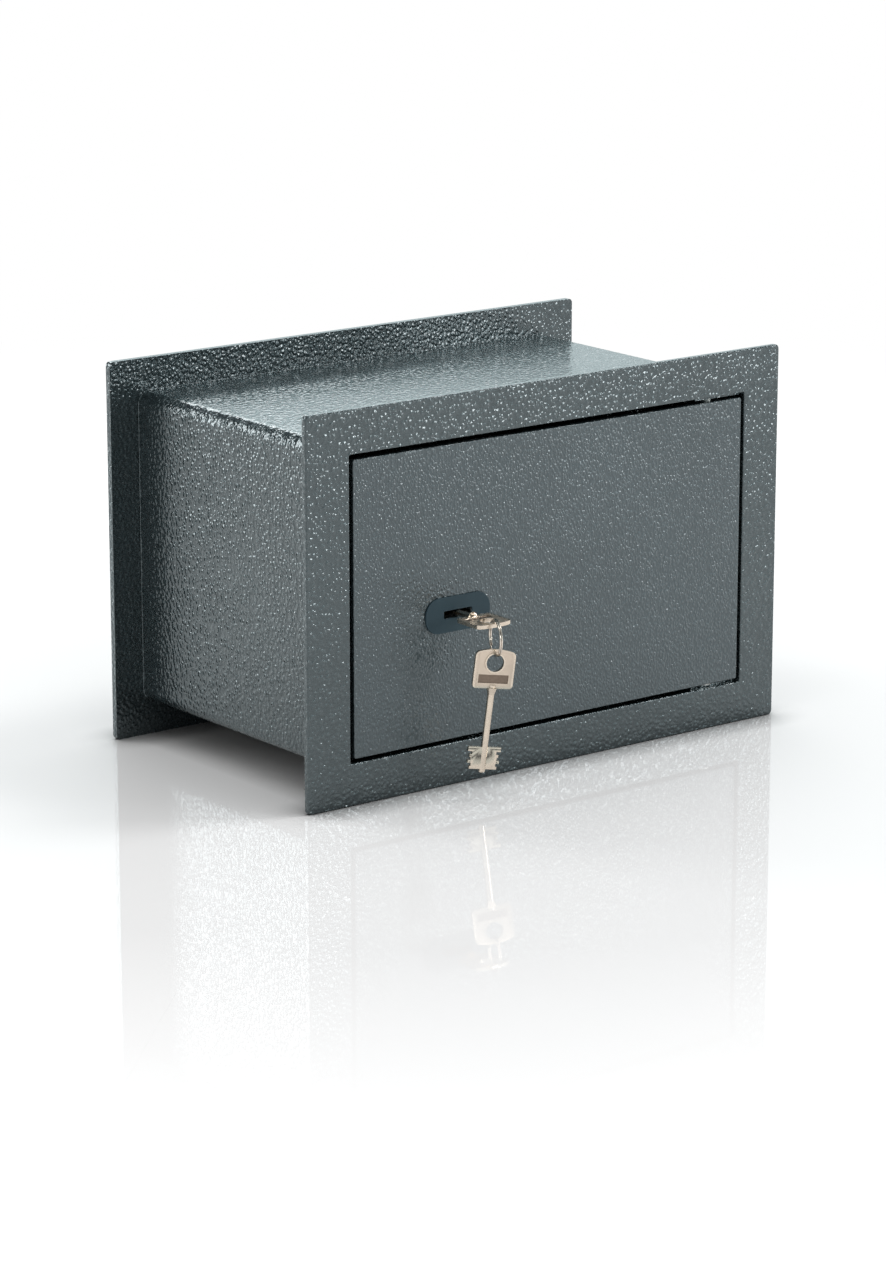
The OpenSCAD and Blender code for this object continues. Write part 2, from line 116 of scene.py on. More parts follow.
def runsAlong(edge, axis):
    d = (edge.verts[1].co - edge.verts[0].co).normalized()
    return abs(d[axis]) > 0.999


def box(name, low, high):
    bpy.ops.object.select_all(action="DESELECT")
    low, high = Vector(low), Vector(high)
    bpy.ops.mesh.primitive_cube_add(size=1, location=(low + high) / 2, scale=high - low)
    o = bpy.context.object
    o.name = name
    placeInMesh(o)
    return o


def roundedBox(name, low, high, axis, radius, segments):
    # a box whose edges along one axis are rounded
    o = box(name, low, high)
    bpy.ops.object.mode_set(mode="EDIT")
    editPick("edges", lambda e: runsAlong(e, axis))
    bevelEdges(radius, segments)
    bpy.ops.object.mode_set(mode="OBJECT")
    return o


def rod(radius, length, at, turn=(0, 0, 0), sides=48):
    # an upright round bar, its sizes and place in millimetres
    bpy.ops.object.select_all(action="DESELECT")
    bpy.ops.mesh.primitive_cylinder_add(vertices=sides, radius=radius * mm, depth=length * mm,
                                        location=Vector(at) * mm, rotation=turn)
    return bpy.context.object


def bevelEdges(radius, segments):
    bpy.ops.mesh.bevel(offset=radius, offset_type="OFFSET", segments=segments, affect="EDGES")


def smoothShading(o, angle=creased):
    selectOnly(o)
    bpy.ops.object.shade_smooth_by_angle(angle=angle)


def closeEnds():
    # caps the open ends of a tube in edit mode and turns its faces outwards
    bpy.ops.mesh.select_all(action="SELECT")
    bpy.ops.mesh.fill_holes(sides=0)
    bpy.ops.mesh.select_all(action="SELECT")
    bpy.ops.mesh.normals_make_consistent(inside=False)
    bpy.ops.object.mode_set(mode="OBJECT")


def looseCopy(o):
    # a copy with a mesh of its own
    copy = o.copy()
    copy.data = o.data.copy()
    bpy.context.scene.collection.objects.link(copy)
    return copy


def joinInto(name, pieces):
    selectOnly(*pieces)
    bpy.ops.object.join()
    bpy.context.object.name = name
    return bpy.context.object


def applyModifier(o, kind, **settings):
    selectOnly(o)
    modifier = o.modifiers.new(kind.title(), kind)
    for name, value in settings.items():
        setattr(modifier, name, value)
    bpy.ops.object.modifier_apply(modifier=modifier.name)


def cutAway(o, *cutters):
    for cutter in cutters:
        applyModifier(o, "BOOLEAN", operation="DIFFERENCE", object=cutter, solver="EXACT")
        bpy.data.objects.remove(cutter)


def fuse(o, *others):
    for other in others:
        applyModifier(o, "BOOLEAN", operation="UNION", object=other, solver="EXACT")
        bpy.data.objects.remove(other)


def softenEdges(o, width, segments=3):
    applyModifier(o, "BEVEL", width=width, segments=segments, limit_method="ANGLE",
                  angle_limit=math.radians(32), harden_normals=False, miter_outer="MITER_ARC")
    smoothShading(o, math.radians(40))
    applyModifier(o, "WEIGHTED_NORMAL", keep_sharp=True, weight=80)


def dressWith(o, material):
    if not o.material_slots:
        o.data.materials.append(material)
    for s in o.material_slots:
        s.material = material


def standsFor(o, body, slot, *names):
    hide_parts(*names)
    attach(o, body)


cameraSet = {"at": (-1.5222, -2.0730, 0.5918), "yaw": 37.61, "pitch": 14.68, "lens": 120.1, "sensor": 36,
             "sight": 60}
cameraData = bpy.data.cameras.new("camera")
cameraData.lens = cameraSet["lens"]
cameraData.sensor_width = cameraSet["sensor"]
cameraData.clip_end = cameraSet["sight"]
camera = bpy.data.objects.new("camera", cameraData)
bpy.context.scene.collection.objects.link(camera)
camera.location = cameraSet["at"]
camera.rotation_euler = (math.radians(90 - cameraSet["pitch"]), 0, math.radians(-cameraSet["yaw"]))
bpy.context.scene.camera = camera
bpy.context.scene.view_settings.view_transform = "Standard"


# the paint's pebbles, as shares of a pebble's width: wander and reach bend their rows and melt rounds them
# off; the colour runs from valley to peak between paintedHollowShade's two heights, a painted shade that
# darkens the pebbles' hollows, and the coat levels out between faceUp's two normals
pebble = {"wander": 0.5, "reach": 0.7, "cells": 0.72, "melt": 0.35, "dome": (0.05, 0.75), "fine": 0.9,
          "fineHeight": 0.9, "paintedHollowShade": (0.35, 1.5), "cloudsPerMetre": 14.0, "cloudiness": 0.25,
          "glossSpread": 0.06, "faceUp": (0.8, 0.98)}


def hammertonePaint(name, look, skin):
    # baked powder coat on sheet steel: a hard glossy skin over dark grey pigment with metal flake in it, and
    # it draws together into pebbles as it bakes, so the eye sees dull grey with a glint on each pebble
    material, tree = newMaterial(name)
    place = addNode(tree, "ShaderNodeTexCoord").outputs["Object"]
    grainPlace = addNode(tree, "ShaderNodeMapping", Vector=place, Scale=look["stretch"]).outputs[0]
    perMetre = 1000 / look["grain"]            # a pebble's width in millimetres to pebbles in a metre
    wander = addNode(tree, "ShaderNodeTexNoise", Vector=grainPlace, Scale=perMetre * pebble["wander"],
                     Detail=2.0)
    reach = look["grain"] * pebble["reach"] * mm
    shifted = addNode(tree, "ShaderNodeVectorMath", {"operation": "MULTIPLY_ADD"},
                      _0=wander.outputs["Color"], _1=(reach, reach, reach), _2=grainPlace)
    cells = addNode(tree, "ShaderNodeTexVoronoi", {"feature": "SMOOTH_F1"}, Vector=shifted.outputs[0],
                    Scale=perMetre * pebble["cells"], Smoothness=pebble["melt"])
    fine = addNode(tree, "ShaderNodeTexNoise", Vector=shifted.outputs[0], Scale=perMetre * pebble["fine"],
                   Detail=1.5)
    dome = addNode(tree, "ShaderNodeMapRange", {"interpolation_type": "SMOOTHSTEP"},
                   _0=cells.outputs["Distance"], _1=pebble["dome"][0], _2=pebble["dome"][1], _3=1.0, _4=0.0)
    height = addNode(tree, "ShaderNodeMath", {"operation": "MULTIPLY_ADD"},
                     _0=fine.outputs["Fac"], _1=pebble["fineHeight"], _2=dome.outputs[0])
    broad = addNode(tree, "ShaderNodeTexNoise", Vector=place, Scale=pebble["cloudsPerMetre"], Detail=3.0)
    # painted shade: the colour is darker in the pebbles' hollows and lighter on their tops
    shade = addNode(tree, "ShaderNodeMapRange", _0=height.outputs[0], _1=pebble["paintedHollowShade"][0],
                    _2=pebble["paintedHollowShade"][1], _3=0.0, _4=1.0)
    paintedHollowShade = addNode(tree, "ShaderNodeValToRGB", Fac=shade.outputs[0])
    setRamp(paintedHollowShade, [(0.0, look["valley"]), (1.0, look["peak"])])
    clouded = addNode(tree, "ShaderNodeMixRGB", {"blend_type": "MULTIPLY"},
                      Fac=pebble["cloudiness"], Color1=paintedHollowShade.outputs[0], Color2=broad.outputs["Fac"])
    smoothest, roughest = [look["roughness"] + side * pebble["glossSpread"] for side in (-1, 1)]
    gloss = addNode(tree, "ShaderNodeMapRange", _0=fine.outputs["Fac"], _1=noiseLow, _2=noiseHigh,
                    _3=smoothest, _4=roughest)
    # the wet coat levels out on a face that looks up
    normal = addNode(tree, "ShaderNodeNewGeometry").outputs["Normal"]
    facing = addNode(tree, "ShaderNodeSeparateXYZ", Vector=normal)
    relief = addNode(tree, "ShaderNodeMapRange", _0=facing.outputs["Z"], _1=pebble["faceUp"][0],
                     _2=pebble["faceUp"][1], _3=1.0, _4=look["levelled"])
    bump = addNode(tree, "ShaderNodeBump", Strength=relief.outputs[0], Distance=look["depth"] * mm,
                   Height=height.outputs[0])
    shader = addNode(tree, "ShaderNodeBsdfPrincipled", Base_Color=clouded.outputs[0],
                     Roughness=gloss.outputs[0], Normal=bump.outputs[0], Metallic=look["flake"], IOR=1.5,
                     Specular_Tint=linearColour("#e6fafd"),
                     Coat_Weight=1.0, Coat_Roughness=skin, Coat_Normal=bump.outputs[0])
    addNode(tree, "ShaderNodeOutputMaterial", Surface=shader.outputs[0])
    return material


# grain is a pebble's width and depth its height in millimetres; levelled is what is left of it on a top face
flangeLook = {"grain": 1.75, "depth": 0.26, "stretch": (1, 1, 1), "valley": "#394447", "peak": "#434e51",
              "roughness": 0.26, "flake": 0.75, "levelled": 0.3}
# the folded body's copy of the same paint is darker than the flanges', a painted shade on its side and top
bodyLook = dict(flangeLook, grain=1.9, depth=0.38, roughness=0.24, levelled=0.4,
                valley="#333e41", peak="#3d484b")
doorLook = {"grain": 1.1, "depth": 0.22, "stretch": (1, 1, 0.75), "valley": "#384347", "peak": "#444f53",
            "roughness": 0.34, "flake": 0.7, "levelled": 1.0}
flangePaint = hammertonePaint("grained powder coat", flangeLook, skin=0.09)
bodyPaint = hammertonePaint("deep grained powder coat", bodyLook, skin=0.08)
doorPaint = hammertonePaint("fine grained powder coat", doorLook, skin=0.11)


# grain of about 1 mm, coarser than the real one so that it shows, and faint stains about 17 mm wide
metalSet = {"grainPerMetre": 900.0, "stainsPerMetre": 60.0, "stained": 0.82, "smoother": 0.07,
            "rougher": 0.09}


def plainMetal(name, hexCode, roughness, scratch, stretch=(1, 1, 1)):
    # bare or plated metal; scratch is the grain's depth in millimetres, stretch draws it out along an axis
    material, tree = newMaterial(name)
    place = addNode(tree, "ShaderNodeTexCoord").outputs["Object"]
    drawn = addNode(tree, "ShaderNodeMapping", Vector=place, Scale=stretch).outputs[0]
    grain = addNode(tree, "ShaderNodeTexNoise", Vector=drawn, Scale=metalSet["grainPerMetre"], Detail=4.0)
    stain = addNode(tree, "ShaderNodeTexNoise", Vector=place, Scale=metalSet["stainsPerMetre"], Detail=3.0)
    tone = addNode(tree, "ShaderNodeMapRange", _0=stain.outputs["Fac"], _1=noiseLow, _2=noiseHigh,
                   _3=metalSet["stained"], _4=1.0)
    colour = addNode(tree, "ShaderNodeMixRGB", {"blend_type": "MULTIPLY"}, Fac=1.0,
                     Color1=linearColour(hexCode), Color2=tone.outputs[0])
    gloss = addNode(tree, "ShaderNodeMapRange", _0=grain.outputs["Fac"], _1=noiseLow, _2=noiseHigh,
                    _3=roughness - metalSet["smoother"], _4=roughness + metalSet["rougher"])
    bump = addNode(tree, "ShaderNodeBump", Strength=1.0, Distance=scratch * mm, Height=grain.outputs["Fac"])
    shader = addNode(tree, "ShaderNodeBsdfPrincipled", Base_Color=colour.outputs[0],
                     Roughness=gloss.outputs[0], Normal=bump.outputs[0], Metallic=1.0)
    addNode(tree, "ShaderNodeOutputMaterial", Surface=shader.outputs[0])
    return material


# bright blue-white zinc, slightly cloudy, on turned and folded small parts
platedSteel = plainMetal("zinc plated steel", "#b9bbb8", 0.34, 0.006)
# dark grey ground steel, with its grinding marks across
hardSteel = plainMetal("hardened steel", "#7d8082", 0.42, 0.01, (1, 1, 0.2))
# warm yellow sheet with the rolling direction in its shine
lockBrass = plainMetal("rolled brass", "#c3a35b", 0.3, 0.006, (0.15, 1, 1))
# the key: a warm grey plate, shiny on its rims and shank, satin on the bow's field, dark in the blasted
# panel;
# the field's colour is also a little darker than the rims', a painted shade that sets the rims off like a
# highlight
keyNickel = plainMetal("cast nickel plate", "#d8cbbb", 0.25, 0.004)
keyField = plainMetal("satin nickel plate", "#d2c3b3", 0.42, 0.008)
keyPanel = plainMetal("shot blasted nickel", "#85766a", 0.55, 0.06)
# drawn wire, the shiniest metal here
ringNickel = plainMetal("drawn nickel wire", "#d9cfc4", 0.18, 0.002)


# a texture 0.4 mm wide and 0.006 mm deep, and shades 29 mm wide
plasticSet = {"satinPerMetre": 2400.0, "satinDepth": 0.006, "shadesPerMetre": 35.0, "darkTo": 0.35,
              "lightFrom": 0.7, "roughness": 0.62, "ior": 1.45, "shine": 0.35}


def mouldedPlastic(name, dark, light, p):
    # satin moulded ABS: an even blue-green grey with a soft, wide shine and a very fine spark-eroded texture
    material, tree = newMaterial(name)
    place = addNode(tree, "ShaderNodeTexCoord").outputs["Object"]
    satin = addNode(tree, "ShaderNodeTexNoise", Vector=place, Scale=p["satinPerMetre"], Detail=2.0)
    broad = addNode(tree, "ShaderNodeTexNoise", Vector=place, Scale=p["shadesPerMetre"], Detail=1.0)
    tone = addNode(tree, "ShaderNodeValToRGB", Fac=broad.outputs["Fac"])
    setRamp(tone, [(p["darkTo"], dark), (p["lightFrom"], light)])
    bump = addNode(tree, "ShaderNodeBump", Strength=1.0, Distance=p["satinDepth"] * mm,
                   Height=satin.outputs["Fac"])
    shader = addNode(tree, "ShaderNodeBsdfPrincipled", Base_Color=tone.outputs[0], Normal=bump.outputs[0],
                     Roughness=p["roughness"], IOR=p["ior"], Specular_IOR_Level=p["shine"])
    addNode(tree, "ShaderNodeOutputMaterial", Surface=shader.outputs[0])
    return material


escutcheonPlastic = mouldedPlastic("petrol moulded plastic", "#1f323a", "#263a42", plasticSet)

slotMaterial = {"hammertone_paint": flangePaint, "escutcheon_plastic": escutcheonPlastic,
                "hard_steel": hardSteel, "bright_steel": platedSteel, "lock_brass": lockBrass,
                "nickel_key": keyNickel, "ring_nickel": ringNickel}
for row in frame["record"]["subparts"]:
    if row["node"] in nodes:
        dressWith(nodes[row["node"]], slotMaterial[row["material_slot"]])
print("materials made")


# sizes and places in millimetres; opening and shell are left, bottom, right and top
bodySet = {"halfWidth": 175, "halfHeight": 115, "depth": 200, "flangeRadius": 2.6, "plate": 4,
           "opening": (-145, -90, 148, 89), "shell": (-155, -94, 155, 95), "bend": 7.5, "wall": 2,
           "paintEdge": 0.8, "anchors": (100, 60), "anchorRadius": 5}


def flange(name, front):
    # both flange plates have the same outline, with slightly rounded corners
    halfWidth, halfHeight = bodySet["halfWidth"] * mm, bodySet["halfHeight"] * mm
    back = front + bodySet["plate"]
    return roundedBox(name, (-halfWidth, front * mm, -halfHeight), (halfWidth, back * mm, halfHeight), 1,
                      bodySet["flangeRadius"] * mm, 6)


frontFrame = flange("frontFrame", -bodySet["depth"])
left, bottom, right, top = [v * mm for v in bodySet["opening"]]
face = -bodySet["depth"] * mm                  # the front faces of the frame and the door
cutAway(frontFrame, box("opening", (left, face - past, bottom), (right, face + past, top)))
softenEdges(frontFrame, bodySet["paintEdge"] * mm)
dressWith(frontFrame, flangePaint)
standsFor(frontFrame, "safe_body", "hammertone_paint", "front_frame")

rearPlate = flange("rearPlate", -bodySet["plate"])
for across in (-1, 1):
    for up in (-1, 1):
        x, z = across * bodySet["anchors"][0], up * bodySet["anchors"][1]
        cutAway(rearPlate, rod(bodySet["anchorRadius"], cutterLength, (x, 0, z), alongY))
softenEdges(rearPlate, bodySet["paintEdge"] * mm)
dressWith(rearPlate, flangePaint)
standsFor(rearPlate, "safe_body", "hammertone_paint", "rear_plate")

left, bottom, right, top = [v * mm for v in bodySet["shell"]]
between = bodySet["plate"] * mm                # the folded sheet runs from one flange plate to the other
bodyShell = roundedBox("bodyShell", (left, face + between, bottom), (right, -between, top), 1,
                       bodySet["bend"] * mm, 10)
bpy.ops.object.mode_set(mode="EDIT")
editPick("faces", lambda f: abs(f.normal.y) > 0.9)
bpy.ops.mesh.delete(type="FACE")
bpy.ops.object.mode_set(mode="OBJECT")
applyModifier(bodyShell, "SOLIDIFY", thickness=bodySet["wall"] * mm, offset=-1, use_even_offset=True)
smoothShading(bodyShell, math.radians(40))
dressWith(bodyShell, bodyPaint)
standsFor(bodyShell, "safe_body", "hammertone_paint", "body_shell")
print("body made")


# plate is left, bottom, right and top; slot and escutcheon are half their width and height
doorSet = {"plate": (-142.5, -87.5, 145.5, 86), "thick": 5, "radius": 1, "paintEdge": 0.6,
           "slot": (10.2, 2.3), "slotRadius": 0.8, "slotDeep": 30,
           "escutcheon": (23.2, 10.5), "escutcheonRadius": 9.6, "escutcheonThick": 1, "mouldedEdge": 0.25}


def slotCutter():
    w, h = [v * mm for v in doorSet["slot"]]
    deep = doorSet["slotDeep"] * mm
    return roundedBox("slot", lockAt + Vector((-w, -past, -h)), lockAt + Vector((w, deep, h)), 1,
                      doorSet["slotRadius"] * mm, 4)


left, bottom, right, top = [v * mm for v in doorSet["plate"]]
doorPlate = roundedBox("doorPlate", (left, face, bottom), (right, face + doorSet["thick"] * mm, top), 1,
                       doorSet["radius"] * mm, 3)
cutAway(doorPlate, slotCutter())
softenEdges(doorPlate, doorSet["paintEdge"] * mm)
dressWith(doorPlate, doorPaint)
standsFor(doorPlate, "door", "hammertone_paint", "door_plate")

w, h = [v * mm for v in doorSet["escutcheon"]]
thick = doorSet["escutcheonThick"] * mm
escutcheon = roundedBox("escutcheon", lockAt + Vector((-w, -thick, -h)), lockAt + Vector((w, 0, h)), 1,
                        doorSet["escutcheonRadius"] * mm, 14)
cutAway(escutcheon, slotCutter())
softenEdges(escutcheon, doorSet["mouldedEdge"] * mm, 2)
dressWith(escutcheon, escutcheonPlastic)
standsFor(escutcheon, "door", "escutcheon_plastic", "escutcheon")
print("door made")


coverSet = {"left": -140.5, "right": 100, "halfHeight": 73, "front": -195, "back": -157, "bend": 3,
            "sheet": 1.2, "boltAt": (-185.6, 56), "boltHole": 7.8, "screwX": (-60, 90), "screwZ": 64,
            "screwHole": 2.1, "headRadius": 3.6, "headHeight": 2.2, "crown": 1.5, "shank": 1.9,
            "screwLength": 11, "lap": 0.1, "slotWide": 0.9, "slotDeep": 1.0, "slotTurns": (0.5, 1.1)}


def makeCover(c):
    cover = box("doorCover", (c["left"] * mm, c["front"] * mm, -c["halfHeight"] * mm),
                (c["right"] * mm, c["back"] * mm, c["halfHeight"] * mm))
    bpy.ops.object.mode_set(mode="EDIT")
    editPick("edges", lambda e: not all(abs(v.co.y - c["front"] * mm) < hairline for v in e.verts))
    bevelEdges(c["bend"] * mm, 5)
    editPick("faces", lambda f: f.normal.y < -0.9)
    bpy.ops.mesh.delete(type="FACE")
    bpy.ops.object.mode_set(mode="OBJECT")
    applyModifier(cover, "SOLIDIFY", thickness=c["sheet"] * mm, offset=-1, use_even_offset=True)
    boltY, boltZ = c["boltAt"]
    for side in (-1, 1):
        cutAway(cover, rod(c["boltHole"], cutterLength, (c["left"], boltY, side * boltZ), alongX))
        for x in c["screwX"]:
            cutAway(cover, rod(c["screwHole"], cutterLength, (x, c["back"], side * c["screwZ"]), alongY, 32))
    smoothShading(cover)
    dressWith(cover, flangePaint)
    standsFor(cover, "door", "hammertone_paint", "door_cover")


def makeCoverScrews(c):
    # a round-headed machine screw with a sawn slot, modelled head up and then laid into its four places
    screw = rod(c["headRadius"], c["headHeight"], (0, 0, c["headHeight"] / 2), sides=40)
    placeInMesh(screw)
    bpy.ops.object.mode_set(mode="EDIT")
    editPick("edges", lambda e: all(v.co.z > (c["headHeight"] - 0.01) * mm for v in e.verts))
    bevelEdges(c["crown"] * mm, 6)
    bpy.ops.object.mode_set(mode="OBJECT")
    fuse(screw, rod(c["shank"], c["screwLength"], (0, 0, c["lap"] - c["screwLength"] / 2), sides=32))
    w = c["slotWide"] / 2 * mm
    cutAway(screw, box("sawn", (-past, -w, (c["headHeight"] - c["slotDeep"]) * mm), (past, w, past)))
    firstTurn, nextTurn = c["slotTurns"]           # each screw ends at its own angle
    copies = []
    for i, (x, side) in enumerate([(x, side) for x in c["screwX"] for side in (-1, 1)]):
        copy = looseCopy(screw)
        slotTurn = Matrix.Rotation(firstTurn + nextTurn * i, 4, "Z")
        copy.matrix_world = (Matrix.Translation(Vector((x, c["back"], side * c["screwZ"])) * mm)
                             @ Matrix.Rotation(-math.pi / 2, 4, "X") @ slotTurn)
        placeInMesh(copy)
        copies.append(copy)
    bpy.data.objects.remove(screw)
    screws = joinInto("coverScrews", copies)
    smoothShading(screws)
    dressWith(screws, platedSteel)
    standsFor(screws, "door", "bright_steel", "cover_screws")


makeCover(coverSet)
makeCoverScrews(coverSet)
print("inner cover made")


# along its shank a key is measured from where it meets the door's face; panel is half its width, its length,
# its distance from the shoulder and its depth; bitReach is each step's distance from the axis, shoulder first
keySet = {"halfWidth": 12, "bowLength": 23, "bowThick": 2.2, "corner": 2.2, "bulge": 2.0, "lip": 0.9,
          "field": 0.3, "holeFromEnd": 8, "holeRadius": 5.2, "rim": 0.8, "rimHeight": 0.15,
          "panel": (9, 5, 3, 0.75), "shoulder": -14.1, "flare": (3.3, 3.6), "shank": 2, "tip": 35.4,
          "bitStart": 20.4, "bitEnd": 33.4, "bitReach": (9.8, 7.2, 8.6, 7.8, 9.4, 7.4, 8.2),
          "bitThick": 2.4, "bitStep": 1.75, "firstStep": 23.0, "edge": 0.16}


def keyRod(name, radiusStart, radiusEnd, start, end):
    bpy.ops.object.select_all(action="DESELECT")
    bpy.ops.mesh.primitive_cone_add(vertices=40, radius1=radiusStart * mm, radius2=radiusEnd * mm,
                                    depth=(end - start) * mm, location=(0, (start + end) / 2 * mm, 0),
                                    rotation=(-math.pi / 2, 0, 0))
    o = bpy.context.object
    o.name = name
    placeInMesh(o)
    return o


def keyBow(k):
    # a flat plate with an arched end, rounded corners and a raised lip round its sunken field
    w, thick = k["halfWidth"] * mm, k["bowThick"] * mm
    far, near = (k["shoulder"] - k["bowLength"]) * mm, k["shoulder"] * mm
    bow = box("bow", (-w, far, -thick / 2), (w, near, thick / 2))
    bpy.ops.object.mode_set(mode="EDIT")
    slices = [i * w / 6 for i in range(-5, 6)]
    for x in slices:                           # the end is cut across in twelve, so that it can be arched
        bpy.ops.mesh.select_all(action="SELECT")
        bpy.ops.mesh.bisect(plane_co=(x, 0, 0), plane_no=(1, 0, 0))
    for x in slices + [-w, w]:
        editPick("verts", lambda v: abs(v.co.x - x) < hairline and abs(v.co.y - far) < hairline)
        bpy.ops.transform.translate(value=(0, k["bulge"] * mm * (x / w) ** 2, 0))
    editPick("edges", lambda e: runsAlong(e, 2) and abs(abs(e.verts[0].co.x) - w) < hairline)
    bevelEdges(k["corner"] * mm, 6)
    editPick("faces", lambda f: abs(f.normal.z) > 0.9)
    bpy.ops.mesh.inset(thickness=k["lip"] * mm, depth=-k["field"] * mm)
    bpy.ops.object.mode_set(mode="OBJECT")
    return bow


def keyBits(k):
    # a flat blank is cut into strips, and each strip is trimmed to its own reach
    middle = (k["bitStart"] + k["bitEnd"]) / 2 * mm
    bpy.ops.object.select_all(action="DESELECT")
    bpy.ops.mesh.primitive_plane_add(size=1, location=(0, middle, 0))
    bits = bpy.context.object
    bits.name = "bits"
    bits.scale = (2 * k["bitReach"][0] * mm, (k["bitEnd"] - k["bitStart"]) * mm, 1)
    placeInMesh(bits)
    inner = [k["firstStep"] + i * k["bitStep"] for i in range(len(k["bitReach"]) - 1)]
    steps = [k["bitStart"]] + inner + [k["bitEnd"]]
    bpy.ops.object.mode_set(mode="EDIT")
    for y in steps[1:-1]:
        bpy.ops.mesh.select_all(action="SELECT")
        bpy.ops.mesh.bisect(plane_co=(0, y * mm, 0), plane_no=(0, 1, 0))
    for reach in k["bitReach"][1:]:
        for side in (-1, 1):
            bpy.ops.mesh.select_all(action="SELECT")
            bpy.ops.mesh.bisect(plane_co=(side * reach * mm, 0, 0), plane_no=(1, 0, 0))

    def trimmedOff(face):
        centre = face.calc_center_median()
        strip = max(i for i, y in enumerate(steps[:-1]) if centre.y > y * mm)
        return abs(centre.x) > k["bitReach"][strip] * mm
    editPick("faces", trimmedOff)
    bpy.ops.mesh.delete(type="FACE")
    bpy.ops.mesh.select_all(action="SELECT")
    bpy.ops.mesh.dissolve_limited(angle_limit=0.01)
    bpy.ops.object.mode_set(mode="OBJECT")
    applyModifier(bits, "SOLIDIFY", thickness=k["bitThick"] * mm, offset=0)
    return bits


def makeKey(k):
    key = keyBow(k)
    hole = (0, k["shoulder"] - k["bowLength"] + k["holeFromEnd"], 0)
    fuse(key, rod(k["holeRadius"] + k["rim"], k["bowThick"] + 2 * k["rimHeight"], hole, sides=64))
    cutAway(key, rod(k["holeRadius"], cutterLength, hole, sides=64))
    halfPanel, panelLength, panelIn, panelDeep = [v * mm for v in k["panel"]]
    panelEnd = k["shoulder"] * mm - panelIn
    for side in (-1, 1):
        z = sorted((side * (k["bowThick"] / 2 * mm - panelDeep), side * 2 * mm))
        cutAway(key, box("panel", (-halfPanel, panelEnd - panelLength, z[0]), (halfPanel, panelEnd, z[1])))
    fuse(key, keyRod("flare", k["flare"][0], k["shank"], k["shoulder"] - 0.4, k["shoulder"] + k["flare"][1]),
         keyRod("shank", k["shank"], k["shank"], k["shoulder"] - 2, k["tip"] - 0.6), keyBits(k))
    fuse(key, keyRod("tip", k["shank"], k["shank"] - 0.6, k["tip"] - 0.61, k["tip"]))
    applyModifier(key, "BEVEL", width=k["edge"] * mm, segments=2, limit_method="ANGLE", angle_limit=creased)
    smoothShading(key)
    for finish in (keyNickel, keyField, keyPanel):
        key.data.materials.append(finish)
    for face in key.data.polygons:             # 0 is the polished rest, 1 the bow's field, 2 its bare panel
        c = face.center
        flat = abs(face.normal.z) > 0.95 and c.y < k["shoulder"] * mm
        inPanel = abs(c.x) < halfPanel and panelEnd - panelLength < c.y < panelEnd
        lower = (k["bowThick"] / 2 - k["field"] + 0.05) * mm
        face.material_index = 0 if not flat or abs(c.z) > lower else 2 if inPanel else 1
    return key


# turnStep is half the pitch of the two turns; crossing, gap, direction and lean are in degrees
ringSet = {"radius": 10.3, "wire": 0.6, "turnStep": 0.5, "crossing": 44, "gap": 4, "swingRadius": 2.65,
           "direction": 20.6, "lean": 7, "hang": 1.05, "swingAt": -35.6}
lockKey = makeKey(keySet)
lockKey.name = "lockKey"
spareKey = looseCopy(lockKey)
spareKey.name = "spareKey"
lockKey.matrix_world = Matrix.Translation(lockAt)
placeInMesh(lockKey)
standsFor(lockKey, "key", "nickel_key", "key")

# the ring hangs from the hole of the key in the lock, and the spare key from the ring, leaning a little
ringCentre = lockAt + Vector((0, ringSet["swingAt"], ringSet["swingRadius"] - ringSet["radius"])) * mm
turned = Matrix.Rotation(math.radians(-ringSet["direction"]), 4, "Z")
holeMiddle = (keySet["shoulder"] - keySet["bowLength"] + keySet["holeFromEnd"]) * mm
spareKey.matrix_world = (
    Matrix.Translation(ringCentre - Vector((0, 0, ringSet["radius"] * mm))) @ turned
    @ Matrix.Rotation(math.radians(ringSet["lean"]), 4, "Y")
    @ Matrix.Translation((0, 0, (ringSet["hang"] - keySet["holeRadius"]) * mm))
    @ Matrix.Rotation(-math.pi / 2, 4, "X") @ Matrix.Translation((0, -holeMiddle, 0)))
placeInMesh(spareKey)
standsFor(spareKey, "spare_key", "nickel_key", "spare_key")


def makeSplitRing(r):
    # a flat-sided wire wound twice, crossing from one turn to the next in a short cranked stretch
    bpy.ops.object.select_all(action="DESELECT")
    bpy.ops.mesh.primitive_circle_add(vertices=14, radius=r["wire"] * mm, rotation=(math.pi / 2, 0, 0),
                                      location=(r["radius"] * mm, 0, -r["turnStep"] * mm))
    ring = bpy.context.object
    ring.name = "splitRing"
    ring.scale = (1, (r["turnStep"] - 0.01) / r["wire"], 1)
    placeInMesh(ring)
    crossing, crossSteps = math.radians(r["crossing"]), 14
    turn = 2 * math.pi - crossing - math.radians(r["gap"])     # the cut ends stop just short of the crossing
    bpy.ops.object.mode_set(mode="EDIT")
    bpy.ops.mesh.select_all(action="SELECT")
    bpy.ops.mesh.spin(steps=72, angle=turn, center=(0, 0, 0), axis=(0, 0, 1))
    risen = 0
    for i in range(1, crossSteps + 1):
        t = i / crossSteps
        rise = (3 * t * t - 2 * t ** 3) * 2 * r["turnStep"] * mm       # eases in and out of the crank
        bpy.ops.mesh.spin(steps=1, angle=crossing / crossSteps, center=(0, 0, 0), axis=(0, 0, 1))
        bpy.ops.transform.translate(value=(0, 0, rise - risen))
        risen = rise
    bpy.ops.mesh.spin(steps=72, angle=turn, center=(0, 0, 0), axis=(0, 0, 1))
    closeEnds()
    ring.matrix_world = Matrix.Translation(ringCentre) @ turned @ Matrix.Rotation(math.pi / 2, 4, "Y")
    placeInMesh(ring)
    smoothShading(ring, math.radians(50))
    return ring


splitRing = makeSplitRing(ringSet)
dressWith(splitRing, ringNickel)
standsFor(splitRing, "key_ring", "ring_nickel", "split_ring")
print("keys made")


